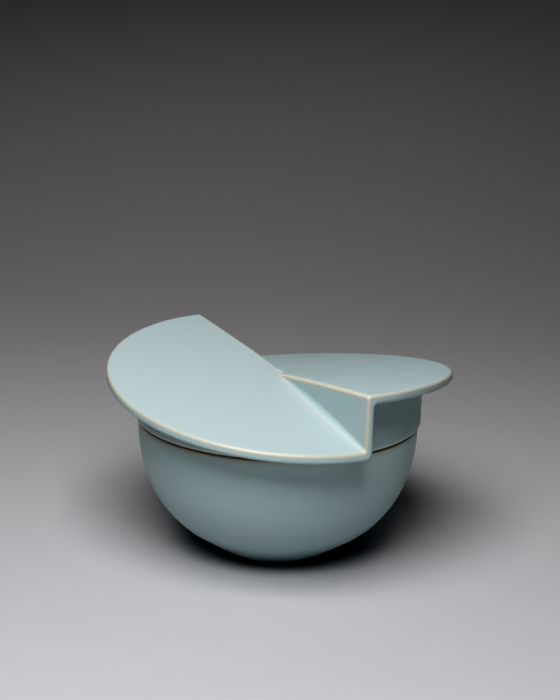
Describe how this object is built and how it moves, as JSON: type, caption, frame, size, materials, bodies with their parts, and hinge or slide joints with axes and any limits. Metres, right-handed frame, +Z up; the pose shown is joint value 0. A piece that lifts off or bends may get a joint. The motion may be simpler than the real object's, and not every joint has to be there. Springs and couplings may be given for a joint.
{
  "type": "lidded rice bowl",
  "caption": "Rice bowl with a lid whose round top is cut across into two opposed slopes with an upright wall between them.",
  "frame": {"origin": "on the bowl's axis, level with the underside of its foot ring", "axes": "+Z up along the bowl's axis and the way the lid lifts, +X to the right and +Y to the back; the lid's cut runs from the front right to the back left"},
  "size_m": [0.1472, 0.1472, 0.0876],
  "materials": {
    "bowl_glaze": "satin pale blue-green celadon glaze, cream where it thins over edges, bare buff clay at the foot and the lip",
    "lid_glaze": "satin pale blue-green celadon glaze, cream where it thins over edges, deeper where it pools, bare buff clay on the seat and the ring"
  },
  "bodies": {
    "bowl_body": {"bowl": "bowl_glaze"},
    "lid_body": {"lid": "lid_glaze"}
  },
  "joints": [
    {"name": "lid_lift", "type": "slide", "parent": "bowl_body", "child": "lid_body", "axis": [0, 0, 1], "range_m": [0, 0.12]}
  ]
}
